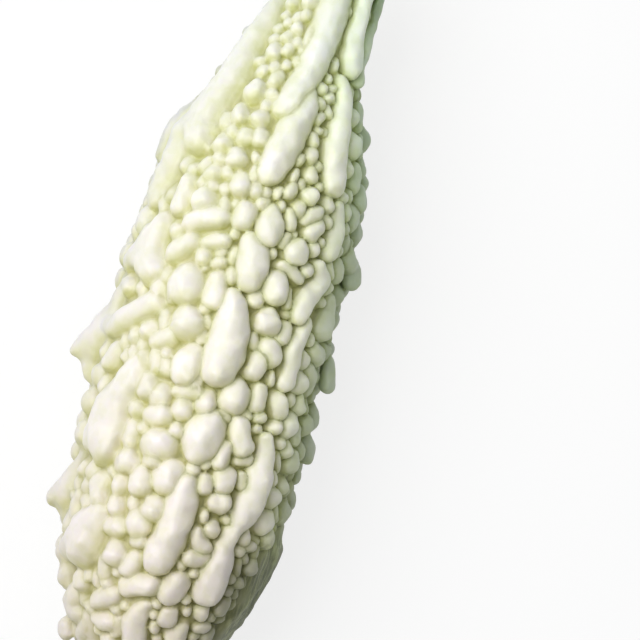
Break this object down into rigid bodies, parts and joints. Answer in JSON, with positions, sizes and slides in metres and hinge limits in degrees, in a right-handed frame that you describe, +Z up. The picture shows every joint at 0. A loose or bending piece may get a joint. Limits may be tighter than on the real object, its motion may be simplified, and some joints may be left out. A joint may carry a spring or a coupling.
{
  "type": "bitter melon",
  "caption": "Pale pearl-skinned bitter melon as picked, lying on its side: tapered fruit covered in blunt ridges and packed round warts, with a short cut stalk.",
  "frame": {"origin": "centre of the bounding box in plan, on the surface the fruit lies on", "axes": "+X along the fruit towards its stalk, +Z up, +Y to the side that is on the left in the picture"},
  "size_m": [0.3004, 0.087, 0.0817],
  "materials": {
    "skin": "waxy cream-white skin, satin gloss, olive-yellow in the creases, greener at the neck",
    "stalk": "ribbed green stalk, matt, with a pale fibrous cut end"
  },
  "bodies": {
    "root": {"fruit": "skin", "stem_stub": "stalk"}
  },
  "joints": []
}
